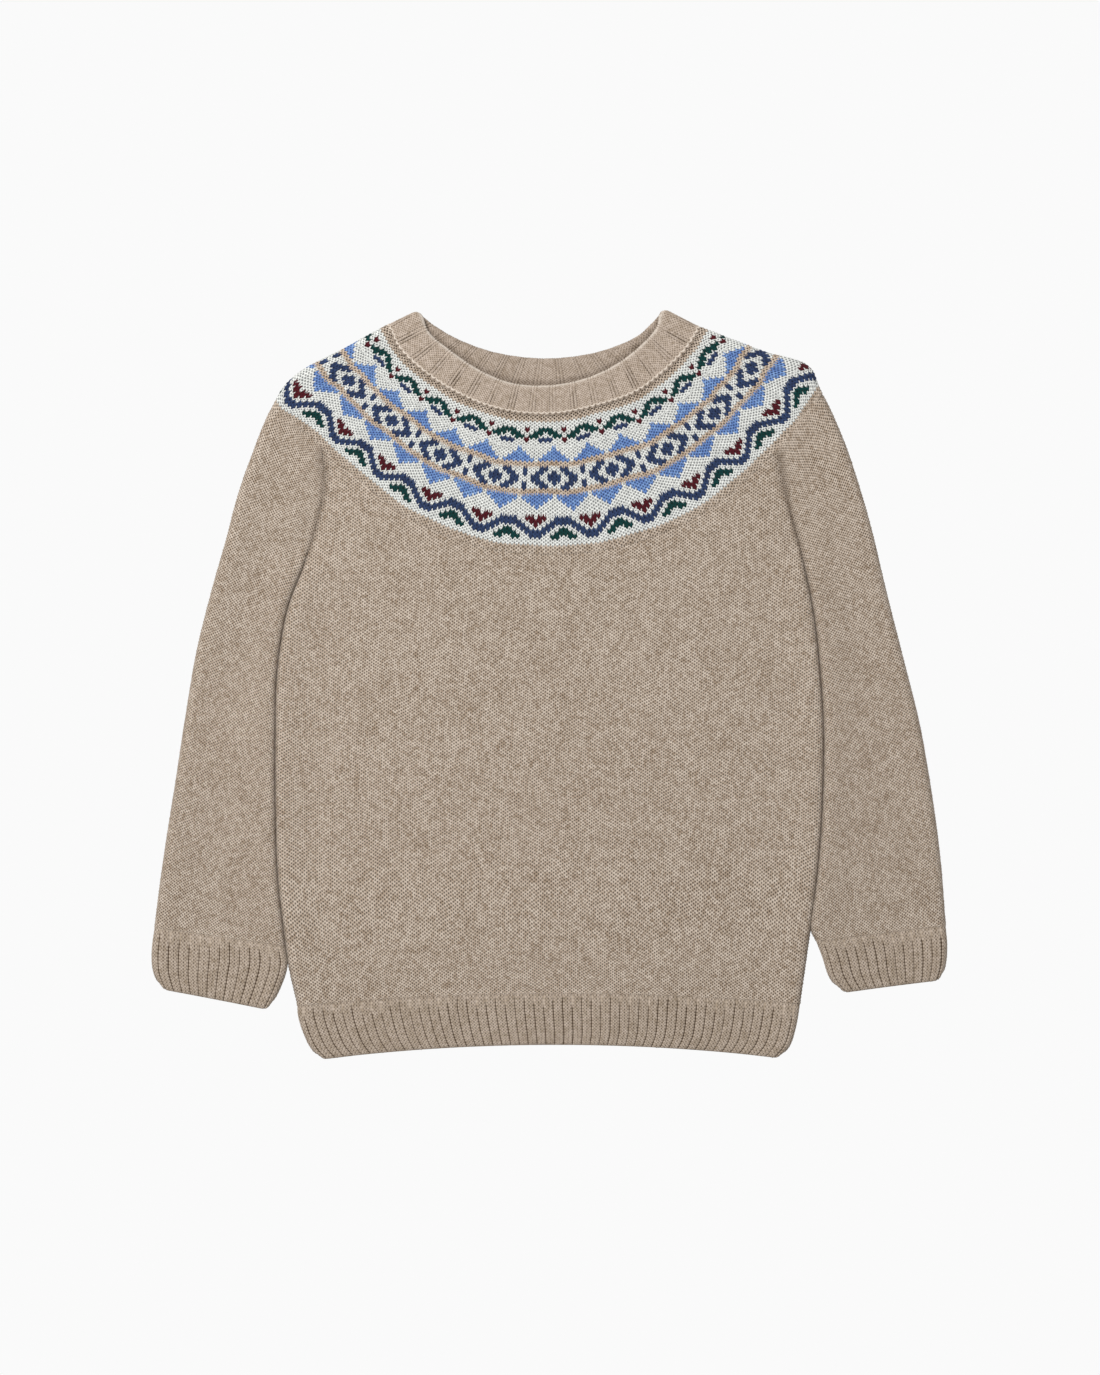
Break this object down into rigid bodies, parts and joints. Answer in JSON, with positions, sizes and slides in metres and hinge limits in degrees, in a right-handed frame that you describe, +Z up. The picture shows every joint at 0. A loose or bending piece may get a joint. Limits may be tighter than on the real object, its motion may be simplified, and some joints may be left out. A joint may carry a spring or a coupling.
{
  "type": "fair isle jumper",
  "caption": "Small child's knitted wool jumper with a patterned round yoke, ribbed neckband, cuffs and hem, laid flat with its front up.",
  "frame": {"origin": "centre of the outline of the laid-out jumper, on the surface that its back lies on", "axes": "+Z up out of the front, +Y from the hem to the neck, +X to the right of someone who looks down on the front"},
  "size_m": [0.4777, 0.451, 0.0072],
  "materials": {
    "body_knit": "oatmeal wool in stocking stitch",
    "patterned_knit": "cream wool with navy, light blue, green and maroon",
    "rib_knit": "oatmeal wool in rib"
  },
  "bodies": {
    "root": {"front": "body_knit", "back": "body_knit", "sleeve_left": "body_knit", "sleeve_right": "body_knit", "yoke": "patterned_knit", "neckband": "rib_knit", "hem_rib_front": "rib_knit", "hem_rib_back": "rib_knit", "cuff_left": "rib_knit", "cuff_right": "rib_knit"}
  },
  "joints": []
}
